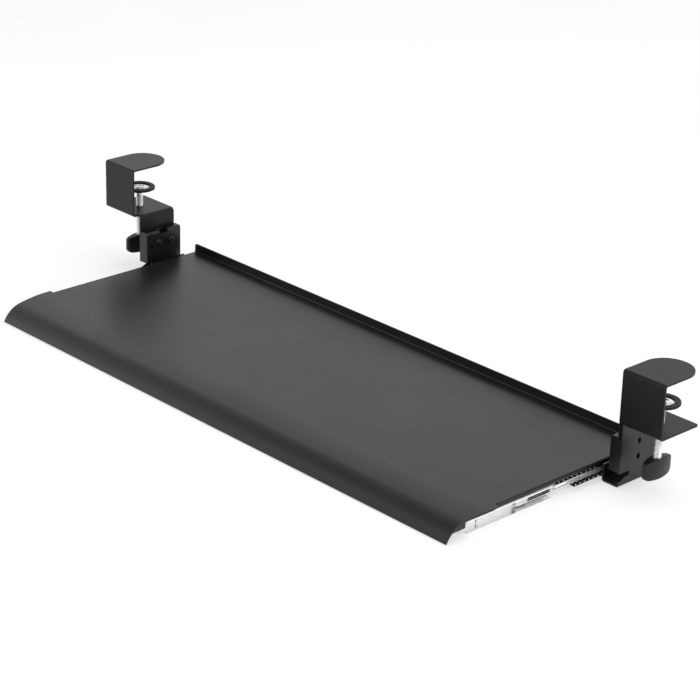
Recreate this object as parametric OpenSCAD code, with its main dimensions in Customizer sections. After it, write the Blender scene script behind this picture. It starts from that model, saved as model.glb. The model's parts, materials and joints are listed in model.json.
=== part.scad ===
// Pull-out keyboard tray that hangs under a desk on two screw clamps.
// Frame: X along the desk edge, Y away from the user, Z up. The origin lies on the
// desk's front edge, midway between the clamps, at the height of the desk top.
// The tray is drawn pulled out. Pushing it in moves it along +Y by tray_travel.

/* [Tray] */
// Width of the tray over its side flanges
tray_w = 678.4; // [500:1:900]
// Depth of the tray from the front tip to the back of the rear lip
tray_d = 270; // [220:1:340]
// How far the front tip stands out before the desk edge when pulled out
tray_out = 201.5; // [190:1:240]
// Distance the tray slides from pulled out to pushed in
tray_travel = 141; // [110:1:150]
// Height of the desk top above the deck
deck_drop = 103.7; // [100:1:125]
// Thickness of the tray sheet
deck_t = 1.2; // [0.8:0.1:1.5]
// Depth of the rounded palm edge at the front
palm_d = 65; // [60:1:65]
// Drop from the deck to the front tip
tip_drop = 19; // [18:0.5:21]
// How much wider the palm edge is than the tray, on each side
step_w = 3.8; // [2:0.1:4.5]
// Height of the side flanges below the deck's top face
flange_h = 3.6; // [3:0.1:5]
// Height of the rear lip above the deck
lip_h = 9.5; // [6:0.5:18]

/* [Slides] */
// Width of the closed slide, from the tray to the hanger
slide_t = 12.7; // [12.5:0.1:13.5]
// Height of the tray rail
tray_rail_h = 13.4; // [13:0.1:14]
// Length of the tray rail
tray_rail_l = 114; // [110:1:118]
// Distance from the front tip to the front end of the tray rail
tray_rail_y = 25.5; // [23:0.5:27]
// Wall of the tray rail
tray_rail_t = 0.9; // [0.8:0.05:1]
// Lip turned in at the open side of the tray rail
tray_rail_lip = 0.6; // [0.5:0.05:0.8]
// Length of the middle rail
middle_rail_l = 159; // [156:1:162]
// Wall of the middle and desk rails
rail_t = 0.7; // [0.6:0.05:0.8]
// Length of the desk rail, which is welded to the hanger
desk_rail_l = 48; // [40:1:48]
// Diameter of the balls beside the tray rail
front_ball_d = 1.2; // [1.1:0.05:1.3]
// Diameter of the balls beside the desk rail
rear_ball_d = 1.6; // [1.4:0.05:1.7]
// Distance between balls along a row
ball_pitch = 6.3; // [5:0.1:8]
// Running gap round a ball
ball_gap = 0.08; // [0.05:0.01:0.1]
// Length of the cage beside the tray rail
front_cage_l = 36; // [32:1:38]
// Length of the cage beside the desk rail
rear_cage_l = 99; // [94:1:102]

/* [Hangers] */
// Width of a hanger over its channel
hanger_w = 21; // [18:0.5:26]
// Length of a hanger along the slide
hanger_l = 49; // [48:0.5:52]
// Thickness of the hanger sheet
hanger_t = 1.8; // [1.5:0.1:2]
// Height of the low wall that carries the slide
low_wall_h = 18; // [17:0.5:18.5]
// Width of the upper box
box_w = 13.5; // [11:0.5:15]
// Height of the upper box
box_h = 36.5; // [32:0.5:38]
// Distance from the hanger's floor to the bottom of the upper box
box_lift = 15; // [14:0.5:18]
// Diameter of the hanger screws
hanger_screw_d = 5; // [4:0.5:6]

/* [Clamps] */
// Width of a clamp's jaw
clamp_w = 50.6; // [40:0.5:60]
// Thickness of the clamp plate
clamp_t = 2; // [1.5:0.1:2.5]
// Reach of the upper jaw over the desk
tongue_l = 57; // [45:1:70]
// Reach of the lower jaw under the desk
lower_jaw_l = 52.5; // [50:0.5:58]
// Opening between the upper and the lower jaw
jaw_open = 52.2; // [44:0.2:54]
// Gap between the hanger and the clamp's jaw
clamp_gap = 1.2; // [0.5:0.1:3]
// Desk thickness at which the pad is drawn
desk_t = 28.4; // [20:0.2:32]
// Diameter of the clamp screw
screw_d = 8; // [6:0.5:9]
// Length of the clamp screw
screw_l = 72; // [68:0.5:76]
// Width of the clamp nut across its flats
nut_w = 13; // [12:0.5:17]
// Diameter of the pad
pad_d = 36; // [30:0.5:42]
// Span of the knob's wings
knob_l = 41; // [36:0.5:45]
// Height of the knob
knob_h = 23; // [20:0.5:24]
// Thickness of the knob's wings
knob_t = 9; // [8:0.5:11]

/* [Hidden] */
$fn = 48;

black = "#2b2b2b";
zinc = "#d9d9dc";
plastic = "#101010";
rubber = "#181818";

// Heights, measured from the desk top
deck_z = -deck_drop;
tip_z = deck_z - tip_drop;
under_deck_z = deck_z - deck_t;
slide_z = deck_z - flange_h - 0.2 - tray_rail_h / 2;

// Places along Y, with the tray pulled out
tip_y = -tray_out;
rear_y = tip_y + tray_d;
hanger_y = 5.9;
hanger_rear_y = hanger_y + hanger_l;
tray_rail_front_y = tip_y + tray_rail_y;
tray_rail_rear_y = tray_rail_front_y + tray_rail_l;
middle_rail_rear_y = hanger_rear_y;
middle_rail_front_y = middle_rail_rear_y - middle_rail_l;
desk_rail_front_y = hanger_y + 0.5;
front_cage_y = middle_rail_front_y + 12;
rear_cage_rear_y = hanger_rear_y - 7;
rear_cage_y = rear_cage_rear_y - rear_cage_l;

// Places along X on the right side; the left side is its mirror image
edge_x = tray_w / 2;
slide_x = edge_x - 8.9;
wall_x = slide_x + slide_t;
outer_x = wall_x + hanger_w;
box_x = outer_x - box_w;
flange_x = outer_x - hanger_t - clamp_t;
jaw_x = outer_x + clamp_gap;
clamp_x = jaw_x + clamp_w / 2;

// Bends of the sheets and of the rails, measured at their inner faces
bend_r = 1;
rail_bend_r = 0.4;
angle_t = 1.8;
seat_gap = 0.3;

// Sections of the rails: half heights from the slide's middle line
tray_rail_in = tray_rail_h / 2 - tray_rail_t;
middle_rail_out = tray_rail_in - front_ball_d - 2 * ball_gap;
desk_rail_out = tray_rail_in - tray_rail_lip - 0.14;
desk_rail_in = desk_rail_out - rail_t;
track_out = desk_rail_in - rear_ball_d - 2 * ball_gap;
slot_half = track_out - rail_t - 0.2;
front_v = tray_rail_in - ball_gap - front_ball_d / 2;
rear_v = desk_rail_in - ball_gap - rear_ball_d / 2;
// Depths from the back of the tray rail towards the hanger
tray_rail_depth = slide_t - 2;
middle_web_u = 3.4;
front_flange_u = 1.9;
track_u = 6.9;
desk_flange_u = 4.6;
// Cages: their sheet and the depths of their rows of balls
cage_t = 0.7;
web_t = 0.5;
cage_web_l = rear_cage_rear_y - desk_rail_front_y - 1;
front_row_u = 2.6;
near_row_u = 5.9;
far_row_u = 10.5;
lower_arm_l = rear_cage_l - 3 * ball_pitch;

// Palm edge seen from the tip: a nose arc that runs into a wide arc, flush with the deck
nose_y = 22;
crest_y = palm_d - 11;
crest_r = 200;
crest_c = [crest_y, tip_drop - crest_r];
nose_angle = asin((crest_y - nose_y) / crest_r);
nose_top = tip_drop - crest_r * (1 - cos(nose_angle));
nose_r = (pow(nose_y, 2) + pow(nose_top, 2))
    / (2 * (nose_top * cos(nose_angle) - nose_y * sin(nose_angle)));
nose_c = [nose_y + nose_r * sin(nose_angle), nose_top - nose_r * cos(nose_angle)];
tip_angle = 180 - atan2(-nose_c.y, nose_c.x);

// Clamp screw, pad and knob, seen from the pad's top face
pad_z = -desk_t;
screw_y = tongue_l / 2 - 1.6;
lower_jaw_z = -clamp_t - jaw_open;
ring_t = 1.8;
dish_t = 1.2;
washer_t = 2.2;
neck_d = screw_d - 2;
collar_h = 2.8;
dish_z = pad_z - ring_t - dish_t;
washer_z = dish_z - washer_t;
screw_top = washer_z - collar_h;
screw_low = screw_top - screw_l;
knob_low = screw_low - 1.5;
nut_h = 6.5;

// Fastener places on the hanger
hanger_screw_y = [hanger_y + 16.8, hanger_y + 34.8];
floor_z = tip_z - 0.6;
box_z = floor_z + box_lift;
roof_z = box_z + box_h;
hanger_screw_z = box_z + 22.5;
slot_hole_y = hanger_y + 26.2;
slot_hole_z = [box_z + 11, box_z + 27];

// Mirrors its children to the left side when s is -1
module side(s) {
    mirror([s < 0 ? 1 : 0, 0, 0]) children();
}

// Extrudes a section drawn in Y and Z along X, from x0 over length w
module along_x(x0, w) {
    translate([x0, 0, 0]) rotate([90, 0, 90]) linear_extrude(w) children();
}

// Extrudes a section drawn in X and Z along Y, from y0 over length l
module along_y(y0, l) {
    translate([0, y0 + l, 0]) rotate([90, 0, 0]) linear_extrude(l) children();
}

// Box between two corners
module block(a, b) {
    translate(a) cube(b - a);
}

// Points of an arc about c with n steps, from angle a0 to a1
function arc_points(c, r, a0, a1, n) =
    [for (i = [0 : n]) c + r * [cos(a0 + (a1 - a0) * i / n), sin(a0 + (a1 - a0) * i / n)]];

function backwards(list) = [for (i = [len(list) - 1 : -1 : 0]) list[i]];
function unit(v) = v / norm(v);
function right_of(v) = [unit(v).y, -unit(v).x];

// Bend at the square corner p between directions a and b, for the face d to the right
function corner_arc(p, a, b, t, r, d) =
    let (inward = a.x * b.y < a.y * b.x, far = inward ? r + t : r)
    [for (i = [0 : 6]) p + far * (b - a)
        + (inward ? far - d : far + d) * (a * sin(15 * i) - b * cos(15 * i))];

// Face of a bent sheet that lies d to the right of its outer path
function bent_face(path, t, r, d) =
    let (last = len(path) - 1)
    concat(
        [path[0] + d * right_of(path[1] - path[0])],
        [for (i = [1 : last - 1])
            each corner_arc(path[i], unit(path[i] - path[i - 1]), unit(path[i + 1] - path[i]),
                t, r, d)],
        [path[last] + d * right_of(path[last] - path[last - 1])]
    );

// Section of a sheet of thickness t bent along a path with square corners
module bent_sheet(path, t, r) {
    polygon(concat(bent_face(path, t, r, 0), backwards(bent_face(path, t, r, t))));
}

// Rounded slot for cutting, long axis along 2D x
module slot_2d(l, d) {
    translate([-(l - d) / 2, 0]) circle(d = d);
    translate([(l - d) / 2, 0]) circle(d = d);
    square([l - d, d], center = true);
}

// Tray

// Face of the tray sheet seen from the tip, at depth d below the top face
function tray_face(d) = concat(
    arc_points(nose_c, nose_r - d, tip_angle, 90 + nose_angle, 16),
    arc_points(crest_c, crest_r - d, 90 + nose_angle, 90, 12),
    arc_points([tray_d - deck_t - bend_r, tip_drop + bend_r], bend_r + d, 270, 360, 8),
    [[tray_d - deck_t + d, tip_drop + lip_h]]
);

// Angle on the nose arc at distance y from the tip
function nose_at(y, d) = acos((y - nose_c.x) / (nose_r - d));

// Half width of the palm edge at distance y from the tip
function roll_half(y) =
    edge_x + 0.8 + (step_w - 0.8) * (1 - cos(180 * (y - 10) / (palm_d - 10))) / 2;

module tray_section() {
    translate([tip_y, tip_z]) polygon(concat(tray_face(0), backwards(tray_face(deck_t))));
}

// Plan outline of the tray: the flared palm edge, the deck between its bends and the lip
module tray_plan() {
    sheet_x = edge_x - bend_r - deck_t;
    lip_x = edge_x - 0.5;
    lip_y = rear_y - bend_r - deck_t;
    right = concat(
        [[edge_x + 0.6, tip_y - 1]],
        [for (i = [0 : 10]) let (y = 10 + (palm_d - 10) * i / 10) [roll_half(y), tip_y + y]],
        [[sheet_x, tip_y + palm_d], [sheet_x, lip_y], [lip_x, lip_y], [lip_x, rear_y + 1]]
    );
    polygon(concat(right, [for (p = backwards(right)) [-p.x, p.y]]));
}

module tray_panel() {
    half = edge_x + step_w;
    color(black) {
        difference() {
            intersection() {
                along_x(-half, 2 * half) tray_section();
                translate([0, 0, tip_z - 5]) linear_extrude(60) tray_plan();
            }
            for (s = [-1, 1]) side(s) lip_corner_cut();
        }
        for (s = [-1, 1]) side(s) {
            side_flange();
            end_tab();
        }
    }
}

// Rounds the upper outer corner of the rear lip
module lip_corner_cut() {
    r = 3;
    translate([edge_x - 0.5 - r, rear_y + 1, deck_z + lip_h - r]) rotate([90, 0, 0])
        linear_extrude(deck_t + 2) difference() {
            square(r + 2);
            circle(r);
        }
}

// Flange folded down along the side of the deck
module side_flange() {
    far = bend_r + deck_t;
    c = [edge_x - far, deck_z - far];
    low = deck_z - flange_h;
    along_y(tip_y + palm_d + 2, tray_d - palm_d - 5) polygon(concat(
        [[c.x - 1, deck_z]],
        arc_points(c, far, 90, 0, 6),
        [[edge_x, low], [edge_x - deck_t, low]],
        arc_points(c, bend_r, 0, 90, 6),
        [[c.x - 1, under_deck_z]]
    ));
}

// Tab folded down at the end of the palm edge, ahead of the tray rail
module end_tab() {
    y0 = 9;
    y1 = tray_rail_y - 1;
    d = deck_t / 2;
    along_x(edge_x - 0.4, deck_t) translate([tip_y, tip_z]) polygon(concat(
        [[y1, 8.8], [y0, 8.8]],
        arc_points(nose_c, nose_r - d, nose_at(y0, d), nose_at(y1, d), 8)
    ));
}

// Angle under the deck that carries the tray rail; its front end ducks under the palm edge
module rail_angle() {
    low = slide_z - tray_rail_h / 2 - 0.4;
    front = 16;
    bent_y = tip_y + palm_d + 10;
    back = rear_y - 8;
    d = deck_t + seat_gap;
    under = tip_drop - deck_t;
    color(black) difference() {
        union() {
            along_x(slide_x - angle_t, angle_t) translate([tip_y, tip_z]) polygon(concat(
                [[front, low - tip_z], [palm_d + 11, low - tip_z], [palm_d + 11, under],
                    [palm_d, under]],
                arc_points(crest_c, crest_r - d, 90, 90 + nose_angle, 6),
                arc_points(nose_c, nose_r - d, 90 + nose_angle, nose_at(front, d), 4)
            ));
            along_y(bent_y, back - bent_y) bent_sheet(
                [[slide_x - 16, under_deck_z], [slide_x, under_deck_z], [slide_x, low]],
                angle_t, bend_r);
        }
        for (y = tray_screw_y()) rail_screw_hole(y);
    }
}

// Slides

function tray_screw_y() = [
    tray_rail_front_y + 12,
    tray_rail_front_y + tray_rail_l / 2,
    tray_rail_rear_y - 8
];

// Through hole for a rail screw in the angle and the tray rail
module rail_screw_hole(y) {
    translate([slide_x - 5, y, slide_z]) rotate([0, 90, 0]) cylinder(d = 3.2, h = 10);
    translate([slide_x + tray_rail_t - 0.6, y, slide_z]) rotate([0, 90, 0])
        cylinder(d1 = 3.2, d2 = 5.2, h = 1);
}

module tray_rail() {
    half = tray_rail_h / 2;
    lip = half - tray_rail_t - tray_rail_lip;
    color(zinc) difference() {
        along_y(tray_rail_front_y, tray_rail_l) translate([slide_x, slide_z]) bent_sheet(
            [[tray_rail_depth, -lip], [tray_rail_depth, -half], [0, -half], [0, half],
                [tray_rail_depth, half], [tray_rail_depth, lip]],
            tray_rail_t, rail_bend_r);
        for (y = tray_screw_y()) rail_screw_hole(y);
        tray_rail_lance();
    }
}

// Hooked slot near the front end, left where a small catch is pressed out of the rail
module tray_rail_lance() {
    y = tray_rail_front_y + 21;
    block([slide_x - 1, y, slide_z - 5.2], [slide_x + 3, y + 1.4, slide_z - 1.4]);
    block([slide_x - 1, y, slide_z - 2.4], [slide_x + 3, y + 3.8, slide_z - 1.4]);
}

// Flush screws that hold the tray rail to its angle
module tray_rail_screws() {
    color(zinc) for (y = tray_screw_y())
        translate([slide_x, y, slide_z]) rotate([0, 90, 0]) {
            translate([0, 0, -4.6]) cylinder(d = 3, h = 4.6 + tray_rail_t - 0.6);
            translate([0, 0, tray_rail_t - 0.6]) cylinder(d1 = 3, d2 = 4.2, h = 0.6);
            translate([0, 0, -4]) cylinder(d = 5.6, h = 2.2, $fn = 6);
        }
}

// Middle rail: two channels back to back, the rear one narrower
module middle_rail() {
    w0 = middle_web_u;
    w1 = middle_web_u + rail_t;
    out = middle_rail_out;
    lip = middle_rail_out - rail_t;
    low = track_out - rail_t;
    lower = [
        [front_flange_u, -lip], [front_flange_u, -out], [w1, -out],
        [w1, -track_out], [track_u, -track_out], [track_u, -low], [w1, -low]
    ];
    upper = [for (p = backwards(lower)) [p.x, -p.y]];
    slot_l = 31;
    slot_y = middle_rail_front_y + 15;
    color(zinc) difference() {
        along_y(middle_rail_front_y, middle_rail_l) translate([slide_x, slide_z])
            polygon(concat(lower, upper, [[w0, lip], [w0, -lip]]));
        translate([slide_x, slot_y + slot_l / 2, slide_z]) rotate([90, 0, 90])
            linear_extrude(6) slot_2d(slot_l, 2 * slot_half);
    }
}

// Block on the middle rail that stops the rear cage
module rail_stop() {
    y0 = middle_rail_front_y + 51;
    color(zinc) block(
        [slide_x + middle_web_u + rail_t, y0, slide_z - slot_half],
        [slide_x + track_u - 1, y0 + 17, slide_z + slot_half]);
}

// Ball places along Y in a cage arm of length l that starts at y0
function ball_places(y0, l) =
    [for (i = [0 : floor(l / ball_pitch) - 1]) y0 + ball_pitch * (i + 0.5)];

// Cage arm at half height v
module cage_arm(y0, y1, u0, u1, v) {
    block([slide_x + u0, y0, slide_z + v - cage_t / 2],
        [slide_x + u1, y1, slide_z + v + cage_t / 2]);
}

module pockets(y0, l, v, us, d) {
    for (y = ball_places(y0, l), u = us)
        translate([slide_x + u, y, slide_z + v - 1]) cylinder(d = d + 0.2, h = 2, $fn = 24);
}

module balls(y0, l, v, us, d) {
    for (y = ball_places(y0, l), u = us)
        translate([slide_x + u, y, slide_z + v]) sphere(d = d, $fn = 16);
}

module front_cage() {
    u0 = tray_rail_t + 0.3;
    back = front_cage_y + front_cage_l;
    color(plastic) difference() {
        union() {
            for (v = [-front_v, front_v])
                cage_arm(front_cage_y, back, u0, middle_web_u + rail_t - 0.2, v);
            block([slide_x + u0, front_cage_y, slide_z - front_v],
                [slide_x + u0 + web_t, back, slide_z + front_v]);
        }
        for (v = [-front_v, front_v])
            pockets(front_cage_y, front_cage_l, v, [front_row_u], front_ball_d);
    }
}

module front_balls() {
    color("white") for (v = [-front_v, front_v])
        balls(front_cage_y, front_cage_l, v, [front_row_u], front_ball_d);
}

// Fork shaped cage: its two arms reach forward past the rail stop
module rear_cage() {
    u1 = slide_t - rail_t - 0.3;
    web_y = rear_cage_rear_y - cage_web_l;
    lower_y = rear_cage_rear_y - lower_arm_l;
    color(plastic) difference() {
        union() {
            cage_arm(rear_cage_y, web_y + 1, near_row_u - 1.3, near_row_u + 1.3, rear_v);
            cage_arm(web_y, rear_cage_rear_y, desk_flange_u - 0.2, u1, rear_v);
            cage_arm(lower_y, rear_cage_rear_y, desk_flange_u - 0.2, u1, -rear_v);
            block([slide_x + u1 - web_t, web_y, slide_z - rear_v],
                [slide_x + u1, rear_cage_rear_y, slide_z + rear_v]);
        }
        pockets(rear_cage_y, rear_cage_l, rear_v, [near_row_u], rear_ball_d);
        pockets(lower_y, lower_arm_l, -rear_v, [near_row_u, far_row_u], rear_ball_d);
    }
}

module rear_balls() {
    lower_y = rear_cage_rear_y - lower_arm_l;
    color("white") {
        balls(rear_cage_y, rear_cage_l, rear_v, [near_row_u], rear_ball_d);
        balls(lower_y, lower_arm_l, -rear_v, [near_row_u, far_row_u], rear_ball_d);
    }
}

module desk_rail() {
    color(black) along_y(desk_rail_front_y, desk_rail_l)
        translate([slide_x, slide_z]) bent_sheet(
            [[desk_flange_u, desk_rail_out], [slide_t, desk_rail_out],
                [slide_t, -desk_rail_out], [desk_flange_u, -desk_rail_out]],
            rail_t, rail_bend_r);
}

// Hangers

// Channel that holds the desk rail, with a box above it that takes the screws
module hanger() {
    t = hanger_t;
    outer_top = lower_jaw_z - 2;
    color(black) difference() {
        union() {
            along_y(hanger_y, hanger_l) bent_sheet(
                [[outer_x, outer_top], [outer_x, floor_z], [wall_x, floor_z],
                    [wall_x, floor_z + low_wall_h]],
                t, bend_r);
            along_y(hanger_y, hanger_l) bent_sheet(
                [[box_x, box_z], [box_x, roof_z], [flange_x, roof_z]], t, bend_r);
            translate([0, 0, box_z]) linear_extrude(box_h - t) bent_sheet(
                [[outer_x, hanger_y], [box_x, hanger_y], [box_x, hanger_y + 10]], t, bend_r);
        }
        hanger_front_slot();
        roof_notch();
        for (y = hanger_screw_y)
            translate([box_x - 1, y, hanger_screw_z]) rotate([0, 90, 0])
                cylinder(d = hanger_screw_d + 0.3, h = t + 2);
        for (z = slot_hole_z) tall_slot(z);
        translate([box_x - 1, hanger_y + 7, hanger_screw_z - 3]) rotate([0, 90, 0])
            cylinder(d = 3.5, h = t + 2);
    }
}

// Cut that opens the lower front of the outer wall and runs back as a round ended slot
module hanger_front_slot() {
    top = box_z - 0.6;
    h = 4.6;
    end_y = hanger_y + 12.4;
    along_x(outer_x - hanger_t - 1, hanger_t + 2) {
        polygon([
            [hanger_y - 1, floor_z + 6.2],
            [hanger_y + 1, floor_z + 6.2],
            [hanger_y + 9, top - h],
            [end_y, top - h],
            [end_y, top],
            [hanger_y - 1, top]
        ]);
        translate([end_y, top - h / 2]) circle(d = h);
    }
}

// Notch in the roof of the box and the top of its inner wall
module roof_notch() {
    block([box_x - 1, hanger_y + 18.5, roof_z - hanger_t - 2],
        [box_x + 6.5, hanger_y + 30.5, roof_z + 1]);
}

// Upright slot through the hanger's outer wall and the clamp's flange
module tall_slot(z) {
    translate([flange_x - 1, slot_hole_y, z]) rotate([0, 90, 0])
        linear_extrude(outer_x - flange_x + 2) slot_2d(6.5, 4.2);
}

// Screws that hold the box of the hanger to the clamp's flange
module hanger_screws() {
    color(black) for (y = hanger_screw_y)
        translate([box_x, y, hanger_screw_z]) rotate([0, 90, 0]) {
            cylinder(d = hanger_screw_d, h = flange_x - box_x + clamp_t);
            translate([0, 0, -1.4]) cylinder(d = hanger_screw_d + 3.6, h = 1.4);
            translate([0, 0, -2.2])
                cylinder(d1 = hanger_screw_d + 0.6, d2 = hanger_screw_d + 3.6, h = 0.8);
        }
}

// Tubes between the box wall and the flange
module spacers() {
    color(zinc) for (y = hanger_screw_y)
        translate([box_x + hanger_t, y, hanger_screw_z]) rotate([0, 90, 0]) difference() {
            cylinder(d = hanger_screw_d + 4, h = flange_x - box_x - hanger_t);
            translate([0, 0, -1]) cylinder(d = hanger_screw_d + 0.3, h = box_w + 2);
        }
}

// Clamps

// Plan of the upper jaw: a half round tip
module tongue_plan() {
    r = clamp_w / 2;
    translate([clamp_x, tongue_l - r]) circle(r, $fn = 96);
    translate([jaw_x, -clamp_t - 1]) square([clamp_w, tongue_l - r + clamp_t + 1]);
}

// Plan of the lower jaw: square, with its rear corner rounded
module lower_jaw_plan() {
    r = 2.5;
    polygon(concat(
        [[jaw_x, -clamp_t - 1], [jaw_x + clamp_w, -clamp_t - 1]],
        arc_points([jaw_x + clamp_w - r, lower_jaw_l - r], r, 0, 90, 6),
        [[jaw_x, lower_jaw_l]]
    ));
}

// One bent sheet: upper jaw, front plate, lower jaw and the flange that holds the hanger
module clamp_bracket() {
    t = clamp_t;
    flange_y = 4.4;
    flange_low = box_z + 6;
    color(black) difference() {
        union() {
            intersection() {
                along_x(jaw_x, clamp_w) bent_sheet(
                    [[lower_jaw_l, lower_jaw_z], [-t, lower_jaw_z], [-t, t], [tongue_l, t]],
                    t, bend_r);
                translate([0, 0, lower_jaw_z - 1]) linear_extrude(-lower_jaw_z + t + 2)
                    union() {
                        tongue_plan();
                        lower_jaw_plan();
                    }
            }
            along_y(flange_y, lower_jaw_l - flange_y) bent_sheet(
                [[flange_x, flange_low], [flange_x, lower_jaw_z + t],
                    [jaw_x + 1, lower_jaw_z + t]],
                t, bend_r);
        }
        upper_jaw_only();
        block([flange_x - 1, flange_y - 1, flange_low - 1],
            [flange_x + t + 1, hanger_y + hanger_t + 0.1, roof_z]);
        translate([clamp_x, screw_y, lower_jaw_z - 1]) cylinder(d = screw_d + 0.6, h = t + 2);
        for (y = hanger_screw_y)
            translate([flange_x - 1, y, hanger_screw_z]) rotate([0, 90, 0])
                cylinder(d = hanger_screw_d + 0.02, h = t + 2);
        for (z = slot_hole_z) tall_slot(z);
    }
}

// Trims the upper jaw to its half round tip where the square part reaches it
module upper_jaw_only() {
    translate([0, 0, -0.5]) linear_extrude(clamp_t + 1) difference() {
        translate([jaw_x - 1, tongue_l - clamp_w / 2]) square([clamp_w + 2, clamp_w]);
        tongue_plan();
    }
}

// Hexagon nut welded under the lower jaw
module clamp_nut() {
    color(zinc) translate([clamp_x, screw_y, lower_jaw_z - nut_h]) difference() {
        cylinder(d = nut_w / cos(30), h = nut_h, $fn = 6);
        translate([0, 0, -1]) cylinder(d = screw_d + 0.1, h = nut_h + 2);
    }
}

// Clamp screw: shank, collar, neck and the riveted head that holds the pad
module clamp_screw() {
    color(zinc) translate([clamp_x, screw_y, 0]) {
        translate([0, 0, screw_low]) cylinder(d = screw_d, h = screw_l);
        translate([0, 0, screw_top]) cylinder(d = screw_d + 2, h = collar_h);
        translate([0, 0, washer_z]) cylinder(d = neck_d, h = washer_t + dish_t + seat_gap);
        translate([0, 0, dish_z + dish_t + seat_gap])
            cylinder(d1 = neck_d + 4, d2 = neck_d + 1, h = 0.9);
    }
}

// Steel dish that carries the pad ring, with a pressed groove round the rivet
module pad_dish() {
    rim = pad_d / 2 - 1;
    hole = neck_d / 2 + 0.05;
    color(zinc) translate([clamp_x, screw_y, dish_z]) rotate_extrude() polygon([
        [hole, 0], [rim, 0], [rim, dish_t],
        [hole + 4.5, dish_t], [hole + 4, dish_t - 0.5], [hole + 3.3, dish_t - 0.5],
        [hole + 2.9, dish_t], [hole, dish_t]
    ]);
}

// Washer under the dish, which bears on the screw's collar
module pad_washer() {
    hole = neck_d / 2 + 0.05;
    far = hole + 5.3;
    color(rubber) translate([clamp_x, screw_y, washer_z]) rotate_extrude() polygon([
        [hole, 0], [far - 0.8, 0], [far, 1], [far, washer_t], [hole, washer_t]
    ]);
}

// Ring that grips the underside of the desk
module pad_ring() {
    out = pad_d / 2;
    color(rubber) translate([clamp_x, screw_y, 0]) rotate_extrude() {
        translate([out - 6, pad_z - ring_t]) square([5, ring_t]);
        translate([out - 1, pad_z - ring_t - dish_t]) square([1, ring_t + dish_t - 0.6]);
        translate([out - 1, pad_z - 0.6]) polygon([[0, 0], [1, 0], [0.4, 0.6], [0, 0.6]]);
    }
}

// Side view of the knob: a crescent with a notch where the screw goes in
module knob_outline() {
    half = knob_l / 2;
    r = 4;
    notch = screw_d / 2 + 2;
    crown_r = 70;
    belly_r = 56;
    crown_c = [0, knob_h - crown_r];
    belly_c = [0, belly_r];
    floor_y = knob_h - 6.2 + r;
    belly_a = asin(half / belly_r);
    crown_a = asin(half / crown_r);
    notch_a = asin(notch / crown_r);
    polygon(concat(
        arc_points(belly_c, belly_r, 270 - belly_a, 270 + belly_a, 20),
        arc_points(crown_c, crown_r, 90 - crown_a, 90 - notch_a, 6),
        arc_points([notch - r, floor_y], r, 0, -90, 5),
        arc_points([r - notch, floor_y], r, -90, -180, 5),
        arc_points(crown_c, crown_r, 90 + notch_a, 90 + crown_a, 6)
    ));
}

// Plan of the knob: a bar with rounded corners that swells round the screw
module knob_plan() {
    r = 3.5;
    c = [knob_t / 2 - r, knob_l / 2 - r];
    hub_r = screw_d / 2 + 2.4;
    a = acos(knob_t / 2 / hub_r);
    polygon(concat(
        arc_points([0, 0], hub_r, -a, a, 9),
        arc_points(c, r, 0, 90, 6),
        arc_points([-c.x, c.y], r, 90, 180, 6),
        arc_points([0, 0], hub_r, 180 - a, 180 + a, 9),
        arc_points([-c.x, -c.y], r, 180, 270, 6),
        arc_points([c.x, -c.y], r, 270, 360, 6)
    ));
}

module clamp_knob() {
    color(plastic) translate([clamp_x, screw_y, knob_low]) difference() {
        intersection() {
            along_x(-knob_t, 2 * knob_t) knob_outline();
            translate([0, 0, -1]) linear_extrude(knob_h + 2) knob_plan();
        }
        translate([0, 0, 1.5]) cylinder(d = screw_d, h = knob_h);
    }
}

tray_panel();
side(-1) rail_angle();  // left_rail_angle
side(1) rail_angle();  // right_rail_angle
side(-1) tray_rail();  // left_tray_rail
side(1) tray_rail();  // right_tray_rail
side(-1) tray_rail_screws();  // left_tray_rail_screws
side(1) tray_rail_screws();  // right_tray_rail_screws
side(-1) middle_rail();  // left_middle_rail
side(1) middle_rail();  // right_middle_rail
side(-1) rail_stop();  // left_rail_stop
side(1) rail_stop();  // right_rail_stop
side(-1) front_cage();  // left_front_cage
side(1) front_cage();  // right_front_cage
side(-1) front_balls();  // left_front_balls
side(1) front_balls();  // right_front_balls
side(-1) rear_cage();  // left_rear_cage
side(1) rear_cage();  // right_rear_cage
side(-1) rear_balls();  // left_rear_balls
side(1) rear_balls();  // right_rear_balls
side(-1) desk_rail();  // left_desk_rail
side(1) desk_rail();  // right_desk_rail
side(-1) hanger();  // left_hanger
side(1) hanger();  // right_hanger
side(-1) hanger_screws();  // left_hanger_screws
side(1) hanger_screws();  // right_hanger_screws
side(-1) spacers();  // left_spacers
side(1) spacers();  // right_spacers
side(-1) clamp_bracket();  // left_clamp_bracket
side(1) clamp_bracket();  // right_clamp_bracket
side(-1) clamp_nut();  // left_clamp_nut
side(1) clamp_nut();  // right_clamp_nut
side(-1) clamp_screw();  // left_clamp_screw
side(1) clamp_screw();  // right_clamp_screw
side(-1) clamp_knob();  // left_clamp_knob
side(1) clamp_knob();  // right_clamp_knob
side(-1) pad_dish();  // left_pad_dish
side(1) pad_dish();  // right_pad_dish
side(-1) pad_ring();  // left_pad_ring
side(1) pad_ring();  // right_pad_ring
side(-1) pad_washer();  // left_pad_washer
side(1) pad_washer();  // right_pad_washer
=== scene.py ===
"""Dresses the clamp-on keyboard tray: powder-coated sheet steel, zinc-plated ball slides,
clamp screws with real threads, moulded knobs and the rubber pads that grip the desk.

Blender works in metres. Sizes of pieces are written in millimetres and turned with MM."""
import json
import math

import bmesh
import bpy
from mathutils import Matrix, Vector


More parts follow.
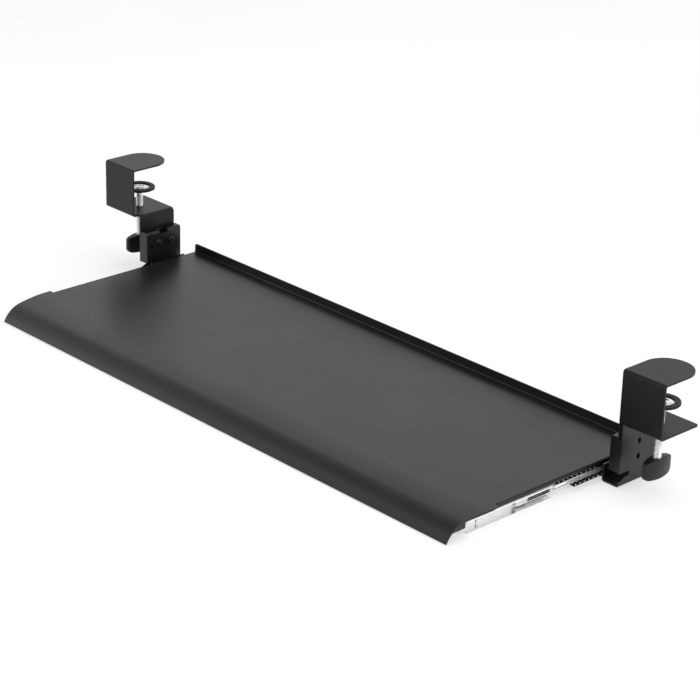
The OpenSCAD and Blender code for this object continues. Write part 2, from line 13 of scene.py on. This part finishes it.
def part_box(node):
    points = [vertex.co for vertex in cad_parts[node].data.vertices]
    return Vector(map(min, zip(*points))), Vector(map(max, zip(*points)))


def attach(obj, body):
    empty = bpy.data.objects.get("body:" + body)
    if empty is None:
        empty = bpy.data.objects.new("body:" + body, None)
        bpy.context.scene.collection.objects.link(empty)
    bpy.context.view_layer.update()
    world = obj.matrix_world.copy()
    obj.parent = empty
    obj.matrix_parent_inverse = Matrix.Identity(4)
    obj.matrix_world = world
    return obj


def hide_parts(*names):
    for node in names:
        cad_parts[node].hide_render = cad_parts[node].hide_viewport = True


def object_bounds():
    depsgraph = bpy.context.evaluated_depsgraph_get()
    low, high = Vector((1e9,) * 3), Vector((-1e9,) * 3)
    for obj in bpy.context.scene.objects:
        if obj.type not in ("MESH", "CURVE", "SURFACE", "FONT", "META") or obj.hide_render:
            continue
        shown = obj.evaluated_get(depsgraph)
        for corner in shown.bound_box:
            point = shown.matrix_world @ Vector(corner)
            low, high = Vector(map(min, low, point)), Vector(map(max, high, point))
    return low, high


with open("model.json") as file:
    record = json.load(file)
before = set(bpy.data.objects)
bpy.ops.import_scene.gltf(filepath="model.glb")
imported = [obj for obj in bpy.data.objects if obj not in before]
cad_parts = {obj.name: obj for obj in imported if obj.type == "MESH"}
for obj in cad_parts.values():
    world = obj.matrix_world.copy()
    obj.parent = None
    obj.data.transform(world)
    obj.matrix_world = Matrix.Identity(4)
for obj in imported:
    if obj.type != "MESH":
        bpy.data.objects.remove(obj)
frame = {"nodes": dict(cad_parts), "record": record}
cad_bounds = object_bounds()
scene = bpy.context.scene
MM = 0.001
SIDES = (("left", -1), ("right", 1))

# Camera: angles in degrees, place in metres, lens and sensor in millimetres
CAMERA_AZIMUTH, CAMERA_ELEVATION, CAMERA_ROLL = 46.328, 23.009, 1.634
CAMERA_PLACE = (1.5892, -1.5194, 0.8344)
CAMERA_LENS, CAMERA_SENSOR, CAMERA_FAR = 117.45, 36, 100

# Sky: grey level at the sine of each elevation
SKY_LEVELS = (
    (0.0, 0.87), (0.2, 0.73), (0.34, 0.63), (0.42, 0.82), (0.5, 1.0), (0.6, 1.0),
    (0.68, 0.48), (0.78, 0.3), (1.0, 0.27))
SKY_STRENGTH = 1.15

# Floor: half its width and its gap under the object in metres, its grey levels and the
# scale of the clouds between them
FLOOR_HALF, FLOOR_GAP = 30.0, 0.0005
FLOOR_GREY, FLOOR_SEEN_GREY = (0.83, 0.85), (0.54, 0.56)
FLOOR_GLOW = 0.52
FLOOR_CLOUD = 3

# Lamps: name, place and size in metres, power in watts. The fill is kept out of reflections.
LAMPS = (
    ("top_softbox", (0.2, 0.5, 2.2), 2.2, 17),
    ("side_softbox", (2.2, 0.3, 0.9), 1.4, 9),
    ("front_softbox", (-2.2, -1.4, 0.35), 1.2, 4),
    ("fill", (2.1, -1.7, 0.8), 0.9, 16))
LAMP_AIM = Vector((0, 0, -0.1))

# Rounded sheet edges: width of the rounding on each part, then how edges are found, with
# angles in degrees and welding distances in metres
TRAY_EDGE = 0.35
SIDE_EDGES = (
    ("rail_angle", 0.3), ("hanger", 0.4), ("clamp_bracket", 0.45), ("tray_rail", 0.12),
    ("middle_rail", 0.12), ("desk_rail", 0.12), ("front_cage", 0.12), ("rear_cage", 0.12),
    ("rail_stop", 0.5), ("spacers", 0.2), ("pad_washer", 0.3))
EDGE_SEGMENTS, EDGE_PROFILE = 2, 0.6
SHARP_ANGLE, FLAT_ANGLE = 35, 0.4
WELD, WELD_LATHE = 2e-6, 1e-6

# Wing knob: bar sizes at its middle, what they lose or gain towards its ends, end roundings
WING_HALF, WING_EDGE = 19.2, 1.0
WING_FLANK, WING_FLANK_LOSS, WING_FLANK_ROUND = 5.5, 3.5, 0.9
WING_TOP, WING_TOP_LOSS, WING_TOP_RADIUS = 22.9, 2.4, 3.2
WING_BASE, WING_BASE_GAIN, WING_BASE_RADIUS = 1.9, 1.6, 5.5
WING_STATIONS, CORNER_STEPS = 56, 4
KNOB_HOLE, KNOB_MOUTH = 4.02, 4.9
KNOB_HOLE_BASE, KNOB_HOLE_TOP, KNOB_MOUTH_TOP = 4.4, 22.0, 23.2

# Clamp screw: its foot above the solid's foot, length from collar to tip, thread
SCREW_FOOT, SCREW_TOP_LENGTH = 3.2, 7.4
THREAD_MAJOR, THREAD_MINOR, THREAD_PITCH = 3.98, 3.58, 1.25
# Thread section: crest start and end, and flank end, as shares of the pitch
CREST_START, CREST_END, FLANK_END = 0.38, 0.56, 0.94

# Hanger screw: pan head and cross recess, which is turned by these degrees
HEAD_RADIUS, HEAD_HEIGHT, SHANK_RADIUS = 4.3, 2.2, 2.5
RECESS, RECESS_TURNS = (4.6, 0.95, 2.6), (25, 115)


def add_camera():
    """Sets the camera at the photograph's viewing angle."""
    az, el, roll = (math.radians(v) for v in (CAMERA_AZIMUTH, CAMERA_ELEVATION, CAMERA_ROLL))
    back = Vector((math.sin(az) * math.cos(el), -math.cos(az) * math.cos(el), math.sin(el)))
    level_right = Vector((math.cos(az), math.sin(az), 0))
    level_up = back.cross(level_right)
    right = math.cos(roll) * level_right + math.sin(roll) * level_up
    up = -math.sin(roll) * level_right + math.cos(roll) * level_up
    data = bpy.data.cameras.new("camera")
    data.lens = CAMERA_LENS
    data.sensor_width = CAMERA_SENSOR
    data.clip_end = CAMERA_FAR
    camera = bpy.data.objects.new("camera", data)
    scene.collection.objects.link(camera)
    camera.matrix_world = Matrix((
        (right.x, up.x, back.x, CAMERA_PLACE[0]),
        (right.y, up.y, back.y, CAMERA_PLACE[1]),
        (right.z, up.z, back.z, CAMERA_PLACE[2]),
        (0, 0, 0, 1)))
    scene.camera = camera


class Tree:
    """Small wrapper that adds and links shader nodes."""

    def __init__(self, material):
        material.use_nodes = True
        self.nodes = material.node_tree.nodes
        self.links = material.node_tree.links
        self.nodes.clear()

    def add(self, kind, **inputs):
        """Adds a node; an underscore in an input's name stands for a space."""
        node = self.nodes.new(kind)
        for key, value in inputs.items():
            self.set(node, key.replace("_", " "), value)
        return node

    def set(self, node, key, value):
        """Links an output to an input, or sets the input to a plain value."""
        if isinstance(value, bpy.types.NodeSocket):
            self.links.new(value, node.inputs[key])
        else:
            node.inputs[key].default_value = value

    def out(self, shader):
        """Makes the shader the material's surface."""
        self.links.new(shader, self.add("ShaderNodeOutputMaterial").inputs["Surface"])

    def coords(self, scale=(1, 1, 1)):
        """Object coordinates in metres, stretched by scale."""
        where = self.add("ShaderNodeTexCoord")
        mapping = self.add("ShaderNodeMapping", Scale=scale)
        self.links.new(where.outputs["Object"], mapping.inputs["Vector"])
        return mapping.outputs["Vector"]

    def noise(self, vector, scale, detail=3.0, rough=0.55):
        node = self.add("ShaderNodeTexNoise", Vector=vector, Scale=scale, Detail=detail,
                        Roughness=rough)
        return node.outputs["Fac"]

    def remap(self, value, low, high, from_low=0.3, from_high=0.7):
        """Maps the middle of a noise, or another range, to low and high."""
        node = self.add("ShaderNodeMapRange", Value=value, From_Min=from_low, From_Max=from_high,
                        To_Min=low, To_Max=high)
        return node.outputs["Result"]

    def ramp(self, value, dark, light):
        """Blends two colours across the middle of a noise."""
        node = self.add("ShaderNodeValToRGB", Fac=value)
        for element, place, colour in zip(node.color_ramp.elements, (0.3, 0.7), (dark, light)):
            element.position = place
            element.color = (*colour, 1)
        return node.outputs["Color"]

    def bump(self, height, strength, distance, normal=None):
        node = self.add("ShaderNodeBump", Height=height, Strength=strength, Distance=distance)
        if normal is not None:
            self.set(node, "Normal", normal)
        return node.outputs["Normal"]

    def larger(self, first, second):
        node = self.nodes.new("ShaderNodeMath")
        node.operation = "MAXIMUM"
        self.links.new(first, node.inputs[0])
        self.links.new(second, node.inputs[1])
        return node.outputs[0]

    def mix(self, factor, first, second):
        """Mixes two shaders: the first at factor 0, the second at factor 1."""
        node = self.nodes.new("ShaderNodeMixShader")
        for place, socket in enumerate((factor, first, second)):
            self.links.new(socket, node.inputs[place])
        return node.outputs[0]


def powder_coat(name, dark, light, rough, specular):
    """Fine-textured black powder coat: tiny grains over a slow orange peel."""
    material = bpy.data.materials.new(name)
    t = Tree(material)
    place = t.coords()
    grain = t.noise(place, scale=1500, detail=2.0)
    peel = t.noise(place, scale=320, detail=2.0)
    slow = t.noise(place, scale=14)
    texture = t.bump(grain, strength=0.22, distance=0.00008,
                     normal=t.bump(peel, strength=0.10, distance=0.0002))
    surface = t.add("ShaderNodeBsdfPrincipled", Base_Color=t.ramp(slow, dark, light),
                    Roughness=t.remap(slow, rough - 0.03, rough + 0.03),
                    Specular_IOR_Level=specular, Normal=texture)
    t.out(surface.outputs["BSDF"])
    return material


def plated(name, dark, light, rough, streak_scale=(60, 4, 60), metal=1.0):
    """Bright zinc over steel: fine streaks, by default along the rails."""
    material = bpy.data.materials.new(name)
    t = Tree(material)
    streak = t.noise(t.coords(streak_scale), scale=22, detail=4.0, rough=0.65)
    cloud = t.noise(t.coords(), scale=90)
    surface = t.add("ShaderNodeBsdfPrincipled", Metallic=metal,
                    Base_Color=t.ramp(cloud, dark, light),
                    Roughness=t.remap(streak, rough - 0.06, rough + 0.08),
                    Normal=t.bump(streak, strength=0.12, distance=0.00005))
    t.out(surface.outputs["BSDF"])
    return material


def moulded(name, dark, light, rough, grain=900, strength=0.12, specular=0.5, top_highlight=0.0):
    """Moulded plastic or rubber with a fine grain; its upper faces can be painted paler, a
    painted highlight of the light from above.
    """
    material = bpy.data.materials.new(name)
    t = Tree(material)
    place = t.coords()
    fine = t.noise(place, scale=grain)
    slow = t.noise(place, scale=60)
    # Painted highlight: faces that turn up are painted paler, as if lit from above.
    facing = t.add("ShaderNodeNewGeometry").outputs["Normal"]
    up = t.add("ShaderNodeSeparateXYZ", Vector=facing)
    lit_top_colour = t.ramp(slow, [v + top_highlight * 0.8 for v in dark], [v + top_highlight for v in light])
    colour = t.add("ShaderNodeMixRGB",
                   Fac=t.remap(up.outputs["Z"], 0.0, 1.0, from_low=0.6, from_high=0.95),
                   Color1=t.ramp(slow, dark, light), Color2=lit_top_colour)
    surface = t.add("ShaderNodeBsdfPrincipled", Base_Color=colour.outputs["Color"],
                    Roughness=t.remap(slow, rough - 0.05, rough + 0.05),
                    Specular_IOR_Level=specular,
                    Normal=t.bump(fine, strength, distance=0.00008))
    t.out(surface.outputs["BSDF"])
    return material


BLACK = ((0.0030, 0.0031, 0.0033), (0.0045, 0.0047, 0.0050))
BRIGHT = ((0.9, 0.905, 0.91), (0.96, 0.963, 0.966))
COAT = powder_coat("powder_coat", (0.0040, 0.0042, 0.0044), (0.0060, 0.0062, 0.0065),
                   rough=0.33, specular=0.45)
# Painted shade: the hanger and clamp coats are darker copies of the tray's powder coat, and the
# clamp's also reflects less.
HANGER_SHADED_COAT = powder_coat("hanger_shaded_coat", *BLACK, rough=0.33, specular=0.42)
CLAMP_SHADED_COAT = powder_coat("clamp_shaded_coat", *BLACK, rough=0.33, specular=0.27)
BLACKED = powder_coat("black_screw", (0.004, 0.004, 0.0042), (0.006, 0.006, 0.0063),
                      rough=0.34, specular=0.28)
ZINC = plated("bright_zinc", *BRIGHT, rough=0.2, metal=0.85)
DULL_ZINC = plated("dull_zinc", *BRIGHT, rough=0.3, metal=0.55)
DISH = plated("dish_zinc", (0.92, 0.925, 0.93), (0.97, 0.973, 0.976), rough=0.2,
              streak_scale=(20, 20, 20), metal=0.9)
TURNED = plated("turned_zinc", (0.84, 0.845, 0.85), (0.93, 0.935, 0.94), rough=0.22,
                streak_scale=(4, 4, 120), metal=0.75)
# Painted glints: the steel balls are mostly white and diffuse, so that they show bright in the
# cages' shade.
GLINT_BALL = plated("ball_white_glint", (0.90, 0.90, 0.91), (0.97, 0.97, 0.97), rough=0.2, metal=0.25)
CAGE_STEEL = plated("cage_steel", (0.62, 0.62, 0.63), (0.70, 0.70, 0.71), rough=0.34)
CAGE = moulded("cage_plastic", (0.003, 0.003, 0.0033), (0.005, 0.005, 0.0055), rough=0.6,
               specular=0.25)
KNOB = moulded("knob_plastic", (0.006, 0.006, 0.0065), (0.010, 0.010, 0.0108), rough=0.36,
               specular=0.3)
# The pad rubber gets the painted highlight on its upper faces.
PAD = moulded("pad_rubber", (0.006, 0.006, 0.006), (0.010, 0.010, 0.010), rough=0.7,
              grain=1600, strength=0.3, specular=0.3, top_highlight=0.07)

MATERIAL_OF = {
    "tray_panel": COAT, "rail_angle": COAT, "desk_rail": COAT,
    "hanger": HANGER_SHADED_COAT, "clamp_bracket": CLAMP_SHADED_COAT, "hanger_screws": BLACKED,
    "tray_rail": ZINC, "middle_rail": ZINC, "rail_stop": DULL_ZINC,
    "tray_rail_screws": TURNED, "spacers": TURNED, "clamp_nut": TURNED, "clamp_screw": TURNED,
    "front_cage": CAGE_STEEL, "rear_cage": CAGE, "front_balls": GLINT_BALL, "rear_balls": GLINT_BALL,
    "clamp_knob": KNOB, "pad_dish": DISH, "pad_washer": PAD, "pad_ring": PAD,
}


def plain_name(node):
    """The node's name without its side."""
    return node.split("_", 1)[1] if node.startswith(("left_", "right_")) else node


def body_of(node):
    """The body that a node moves with."""
    for body, members in frame["record"]["behaviour"]["bodies"].items():
        if node in members:
            return body
    raise KeyError(node)


def centre_of(node):
    """Middle of a node's box, in millimetres."""
    low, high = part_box(node)
    return (low + high) / 2 / MM


def evaluated_mesh(obj):
    """A new mesh of the object with its modifiers applied."""
    return bpy.data.meshes.new_from_object(
        obj.evaluated_get(bpy.context.evaluated_depsgraph_get()))


def finish_piece(prefix, node, work, smooth_angle=35, even=False):
    """Turns a bmesh into the piece that stands for a CAD node, on that node's body."""
    name = prefix + "_" + node
    mesh = bpy.data.meshes.new(name)
    work.to_mesh(mesh)
    work.free()
    mesh.materials.append(MATERIAL_OF[plain_name(node)])
    piece = bpy.data.objects.new(name, mesh)
    scene.collection.objects.link(piece)
    smooth_by_angle(piece, smooth_angle)
    if even:
        keep_faces_flat(piece)
    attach(piece, body_of(node))
    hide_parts(node)


def smooth_by_angle(obj, degrees):
    """Shades the mesh smooth across edges that bend less than the given angle."""
    work = bmesh.new()
    work.from_mesh(obj.data)
    limit = math.radians(degrees)
    for face in work.faces:
        face.smooth = True
    for edge in work.edges:
        edge.smooth = len(edge.link_faces) == 2 and edge.calc_face_angle(0) < limit
    work.to_mesh(obj.data)
    work.free()


def keep_faces_flat(obj):
    """Lets the large faces set the normals along a bevel, so that flat sheet looks flat."""
    weigh = obj.modifiers.new("weigh", "WEIGHTED_NORMAL")
    weigh.mode = "FACE_AREA"
    weigh.weight = 100
    weigh.keep_sharp = True
    done = evaluated_mesh(obj)
    obj.modifiers.clear()
    obj.data = done


def dress(node, width):
    """Copies a CAD node and rounds its sheet edges by the given width."""
    work = bmesh.new()
    work.from_mesh(frame["nodes"][node].data)
    bmesh.ops.remove_doubles(work, verts=work.verts, dist=WELD)
    bmesh.ops.dissolve_limit(work, angle_limit=math.radians(FLAT_ANGLE), verts=work.verts,
                             edges=work.edges)
    limit = math.radians(SHARP_ANGLE)
    sharp = [e for e in work.edges if len(e.link_faces) == 2 and e.calc_face_angle(0) > limit]
    bmesh.ops.bevel(work, geom=sharp, offset=width * MM, segments=EDGE_SEGMENTS,
                    profile=EDGE_PROFILE, affect="EDGES", clamp_overlap=True,
                    harden_normals=False)
    finish_piece("worked", node, work, smooth_angle=32, even=True)


def lathe(profile, centre, steps):
    """Revolves (radius, height) points in millimetres about a vertical axis at centre."""
    work = bmesh.new()
    rings = []
    for radius, height in profile:
        if radius == 0:
            rings.append([work.verts.new((centre[0] * MM, centre[1] * MM, height * MM))])
            continue
        rings.append([
            work.verts.new((
                (centre[0] + radius * math.cos(2 * math.pi * i / steps)) * MM,
                (centre[1] + radius * math.sin(2 * math.pi * i / steps)) * MM,
                height * MM))
            for i in range(steps)])
    for low, high in zip(rings, rings[1:]):
        for i in range(steps):
            corners = (low[i % len(low)], low[(i + 1) % len(low)],
                       high[(i + 1) % len(high)], high[i % len(high)])
            unlike = [v for k, v in enumerate(corners) if v not in corners[:k]]
            if len(unlike) > 2:
                work.faces.new(unlike)
    bmesh.ops.recalc_face_normals(work, faces=work.faces)
    return work


def thread(centre, low, high, steps=40):
    """Helical V thread of the clamp screw, between two heights in millimetres."""
    work = bmesh.new()
    section = ((THREAD_MINOR, 0.0), (THREAD_MAJOR, CREST_START), (THREAD_MAJOR, CREST_END),
               (THREAD_MINOR, FLANK_END))
    turns = int((high - low) / THREAD_PITCH) - 1
    columns = []
    for k in range(turns * steps + 1):
        angle = 2 * math.pi * k / steps
        base = low + THREAD_PITCH * k / steps
        columns.append([
            work.verts.new((
                (centre[0] + radius * math.cos(angle)) * MM,
                (centre[1] + radius * math.sin(angle)) * MM,
                (base + THREAD_PITCH * share) * MM))
            for radius, share in section])
    for left, right in zip(columns, columns[1:]):
        for corners in zip(left, right, right[1:], left[1:]):
            work.faces.new(corners)
    for k in range((turns - 1) * steps):
        near, far = columns[k], columns[k + steps]
        after_near, after_far = columns[k + 1], columns[k + steps + 1]
        work.faces.new((near[3], after_near[3], after_far[0], far[0]))
    bmesh.ops.recalc_face_normals(work, faces=work.faces)
    return work


def join(first, second):
    """Adds the geometry of the second bmesh to the first and frees it."""
    mesh = bpy.data.meshes.new("joined")
    second.to_mesh(mesh)
    second.free()
    first.from_mesh(mesh)
    bpy.data.meshes.remove(mesh)
    return first


def carve(work, cutter, operation="DIFFERENCE"):
    """Cuts the second bmesh out of the first, or keeps what the two share."""
    pair = []
    for name, data in (("kept", work), ("cutter", cutter)):
        mesh = bpy.data.meshes.new(name)
        data.to_mesh(mesh)
        data.free()
        obj = bpy.data.objects.new(name, mesh)
        scene.collection.objects.link(obj)
        pair.append(obj)
    cut = pair[0].modifiers.new("cut", "BOOLEAN")
    cut.operation = operation
    cut.solver = "EXACT"
    cut.object = pair[1]
    done = evaluated_mesh(pair[0])
    for obj in pair:
        bpy.data.objects.remove(obj)
    result = bmesh.new()
    result.from_mesh(done)
    bpy.data.meshes.remove(done)
    return result


def clamp_screws():
    """Threaded shanks with a collar, a neck and a riveted head with a dimple."""
    for side, _ in SIDES:
        node = side + "_clamp_screw"
        low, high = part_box(node)
        middle = centre_of(node)
        foot, top = low.z / MM + SCREW_FOOT, high.z / MM
        collar = top - SCREW_TOP_LENGTH
        shank = [(0, foot), (3.0, foot), (3.6, foot + 0.4), (3.6, collar - 0.5)]
        shoulder = [(4.8, collar), (5.0, collar + 0.2), (5.0, collar + 2.6), (4.8, collar + 2.8)]
        neck = [(2.95, collar + 2.8), (2.95, top - 1.75)]
        head = [(4.6, top - 1.7), (5.0, top - 0.9), (4.9, top - 0.55), (4.3, top - 0.2),
                (3.2, top - 0.02), (1.6, top - 0.02), (1.2, top - 0.35), (0, top - 0.4)]
        core = lathe(shank + shoulder + neck + head, middle, steps=56)
        spiral = thread(middle, foot + 0.4, collar - 0.6)
        finish_piece("threaded", node, join(core, spiral), smooth_angle=30)


def corner(distance, radius):
    """How far a round corner of the given radius has dropped, at a distance from its end."""
    if distance >= radius:
        return 0.0
    return radius - math.sqrt(radius * radius - (radius - distance) ** 2)


def wing_ring(work, centre, base, y):
    """One station of the wing knob: a rectangle with round corners, across the bar."""
    inward = WING_HALF - abs(y)
    outward = (y / WING_HALF) ** 2
    wide = (WING_FLANK - WING_FLANK_LOSS * outward
            - corner(inward, WING_EDGE) * WING_FLANK_ROUND)
    top = WING_TOP - WING_TOP_LOSS * outward - corner(inward, WING_TOP_RADIUS)
    low = WING_BASE + WING_BASE_GAIN * outward + corner(inward, WING_BASE_RADIUS)
    ring = []
    for sx, sz, start in ((1, 1, 0), (-1, 1, 90), (-1, -1, 180), (1, -1, 270)):
        cx, cz = sx * (wide - WING_EDGE), (top - WING_EDGE if sz > 0 else low + WING_EDGE)
        for step in range(CORNER_STEPS + 1):
            angle = math.radians(start + 90 / CORNER_STEPS * step)
            ring.append(work.verts.new((
                (centre.x + cx + WING_EDGE * math.cos(angle)) * MM,
                (centre.y + y) * MM,
                (base + cz + WING_EDGE * math.sin(angle)) * MM)))
    return ring


def wing_knob(centre, base):
    """Bar knob with bulging flanks, a crowned top and a hole with a chamfered mouth."""
    work = bmesh.new()
    rings = [wing_ring(work, centre, base, -WING_HALF * math.cos(math.pi * k / WING_STATIONS))
             for k in range(WING_STATIONS + 1)]
    for near, far in zip(rings, rings[1:]):
        for i in range(len(near)):
            j = (i + 1) % len(near)
            work.faces.new((near[i], near[j], far[j], far[i]))
    work.faces.new(rings[0])
    work.faces.new(rings[-1])
    bmesh.ops.recalc_face_normals(work, faces=work.faces)
    hole = lathe([(0, base + KNOB_HOLE_BASE), (KNOB_HOLE, base + KNOB_HOLE_BASE),
                  (KNOB_HOLE, base + KNOB_HOLE_TOP), (KNOB_MOUTH, base + KNOB_MOUTH_TOP),
                  (0, base + KNOB_MOUTH_TOP)], centre, steps=48)
    return carve(work, hole)


def knobs():
    """The wing knobs of the clamp screws."""
    for side, _ in SIDES:
        node = side + "_clamp_knob"
        low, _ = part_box(node)
        finish_piece("wing", node, wing_knob(centre_of(node), low.z / MM))


def pad_ring(node):
    """Rubber ring with a groove in its upper face and a skirt round the dish."""
    low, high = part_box(node)
    out, top, base = (high.x - low.x) / 2 / MM, high.z / MM, low.z / MM
    inner, under = out - 6, top - 1.8
    skirt = [(inner, under), (out - 1, under), (out - 1, base), (out - 0.3, base),
             (out, base + 0.3)]
    rim = [(out, top - 0.9), (out - 0.25, top - 0.35), (out - 0.9, top - 0.02),
           (out - 1.9, top)]
    groove = [(out - 2.3, top - 0.35), (out - 2.9, top - 0.35), (out - 3.3, top)]
    mouth = [(inner + 0.6, top), (inner + 0.15, top - 0.2), (inner, top - 0.6), (inner, under)]
    ring = lathe(skirt + rim + groove + mouth, centre_of(node), steps=96)
    bmesh.ops.remove_doubles(ring, verts=ring.verts, dist=WELD_LATHE)
    finish_piece("grooved", node, ring)


def pad_dish(node):
    """Bright dish that sinks round the riveted head."""
    low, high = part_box(node)
    rim, base = (high.x - low.x) / 2 / MM, low.z / MM
    dish = lathe([(3.1, base), (rim, base), (rim, base + 1.2), (8.8, base + 1.2),
                  (8.3, base + 1.05), (7.7, base + 0.5), (7.1, base + 0.32),
                  (3.1, base + 0.32), (3.1, base)], centre_of(node), steps=96)
    bmesh.ops.remove_doubles(dish, verts=dish.verts, dist=WELD_LATHE)
    finish_piece("sunk", node, dish)


def pads():
    """The swivel pads that press on the desk; their washers are dressed as sheet."""
    for side, _ in SIDES:
        pad_ring(side + "_pad_ring")
        pad_dish(side + "_pad_dish")


def pan_screw(length):
    """A pan head with a cross recess on a plain shank, head down at the origin."""
    screw = lathe([(0, 0), (1.6, 0.02), (2.9, 0.3), (3.8, 0.85), (4.25, 1.5),
                   (HEAD_RADIUS, 2.0), (4.1, HEAD_HEIGHT), (SHANK_RADIUS, HEAD_HEIGHT),
                   (SHANK_RADIUS, length - 0.3), (2.3, length), (0, length)], (0, 0),
                  steps=48)
    for turn in RECESS_TURNS:
        slot = bmesh.new()
        bmesh.ops.create_cube(slot, size=1)
        bmesh.ops.scale(slot, vec=[v * MM for v in RECESS], verts=slot.verts)
        bmesh.ops.rotate(slot, cent=(0, 0, 0), verts=slot.verts,
                         matrix=Matrix.Rotation(math.radians(turn), 3, "Z"))
        screw = carve(screw, slot)
    return screw


def hanger_screws():
    """The two screws of each hanger, with their heads towards the tray."""
    for side, sign in SIDES:
        node = side + "_hanger_screws"
        low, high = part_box(node)
        length = (high.x - low.x) / MM
        tip = low.x if sign > 0 else high.x
        for place, y in (("front", low.y + HEAD_RADIUS * MM),
                         ("back", high.y - HEAD_RADIUS * MM)):
            screw = pan_screw(length)
            bmesh.ops.rotate(screw, cent=(0, 0, 0), verts=screw.verts,
                             matrix=Matrix.Rotation(math.radians(90 * sign), 3, "Y"))
            bmesh.ops.translate(screw, vec=(tip, y, (low.z + high.z) / 2), verts=screw.verts)
            finish_piece(place + "_pan", node, screw)


def nuts():
    """Hexagon nuts with their lower corners turned down."""
    for side, _ in SIDES:
        node = side + "_clamp_nut"
        low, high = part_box(node)
        base, above = low.z / MM, high.z / MM + 1
        hexagon = bmesh.new()
        hexagon.from_mesh(frame["nodes"][node].data)
        far = max((high.x - low.x), (high.y - low.y)) / 2 / MM
        cone = lathe([(0, base), (far - 0.9, base), (far + 0.1, base + 0.6),
                      (far + 0.1, above), (0, above)], centre_of(node), steps=72)
        finish_piece("chamfered", node, carve(hexagon, cone, "INTERSECT"), smooth_angle=25)


def paint_nodes():
    """Gives every CAD node its material."""
    for node, obj in frame["nodes"].items():
        obj.data.materials.clear()
        obj.data.materials.append(MATERIAL_OF[plain_name(node)])


def studio_world():
    """A light tent: pale sides, a bright ring halfway up and a darker top."""
    world = bpy.data.worlds.new("studio")
    scene.world = world
    t = Tree(world)
    up = t.add("ShaderNodeSeparateXYZ", Vector=t.add("ShaderNodeTexCoord").outputs["Generated"])
    sky = t.add("ShaderNodeValToRGB", Fac=up.outputs["Z"])
    while len(sky.color_ramp.elements) < len(SKY_LEVELS):
        sky.color_ramp.elements.new(0.5)
    for element, (height, level) in zip(sky.color_ramp.elements, SKY_LEVELS):
        element.position = height
        element.color = (level, level, level, 1)
    background = t.add("ShaderNodeBackground", Color=sky.outputs["Color"], Strength=SKY_STRENGTH)
    t.links.new(background.outputs[0], t.nodes.new("ShaderNodeOutputWorld").inputs["Surface"])


def floor_material():
    """White where it is seen, also in reflections; pale for the light it bounces. One-sided."""
    material = bpy.data.materials.new("floor")
    t = Tree(material)
    cloud = t.noise(t.coords(), FLOOR_CLOUD, 2.0)
    plain, seen = (
        t.add("ShaderNodeBsdfDiffuse", Color=t.ramp(cloud, [dark] * 3, [light] * 3)).outputs[0]
        for dark, light in (FLOOR_GREY, FLOOR_SEEN_GREY))
    glow = t.add("ShaderNodeEmission", Color=(1, 1, 1, 1), Strength=FLOOR_GLOW)
    both = t.nodes.new("ShaderNodeAddShader")
    t.links.new(seen, both.inputs[0])
    t.links.new(glow.outputs[0], both.inputs[1])
    path = t.add("ShaderNodeLightPath").outputs
    looked_at = t.larger(t.larger(path["Is Camera Ray"], path["Is Glossy Ray"]),
                         path["Is Transmission Ray"])
    upper = t.mix(looked_at, plain, both.outputs[0])
    under = t.add("ShaderNodeNewGeometry").outputs["Backfacing"]
    t.out(t.mix(under, upper, t.add("ShaderNodeBsdfTransparent").outputs[0]))
    return material


def add_floor():
    """The floor, just under the lowest point of the CAD model."""
    level = cad_bounds[0][2] - FLOOR_GAP
    work = bmesh.new()
    work.faces.new([work.verts.new((x * FLOOR_HALF, y * FLOOR_HALF, level))
                    for x, y in ((-1, -1), (1, -1), (1, 1), (-1, 1))])
    mesh = bpy.data.meshes.new("floor")
    work.to_mesh(mesh)
    work.free()
    mesh.materials.append(floor_material())
    floor = bpy.data.objects.new("floor", mesh)
    scene.collection.objects.link(floor)


def add_lamps():
    """Soft boxes round the object, turned to it."""
    for name, place, size, power in LAMPS:
        light = bpy.data.lights.new(name, "AREA")
        light.size = size
        light.energy = power
        lamp = bpy.data.objects.new(name, light)
        scene.collection.objects.link(lamp)
        lamp.location = place
        lamp.visible_glossy = name != "fill"
        aim = LAMP_AIM - Vector(place)
        lamp.rotation_euler = aim.to_track_quat("-Z", "Y").to_euler()


add_camera()
paint_nodes()
dress("tray_panel", TRAY_EDGE)
for side, _ in SIDES:
    for part, width in SIDE_EDGES:
        dress(side + "_" + part, width)
clamp_screws()
knobs()
pads()
hanger_screws()
nuts()
add_floor()
studio_world()
add_lamps()
scene.view_settings.view_transform = "Standard"
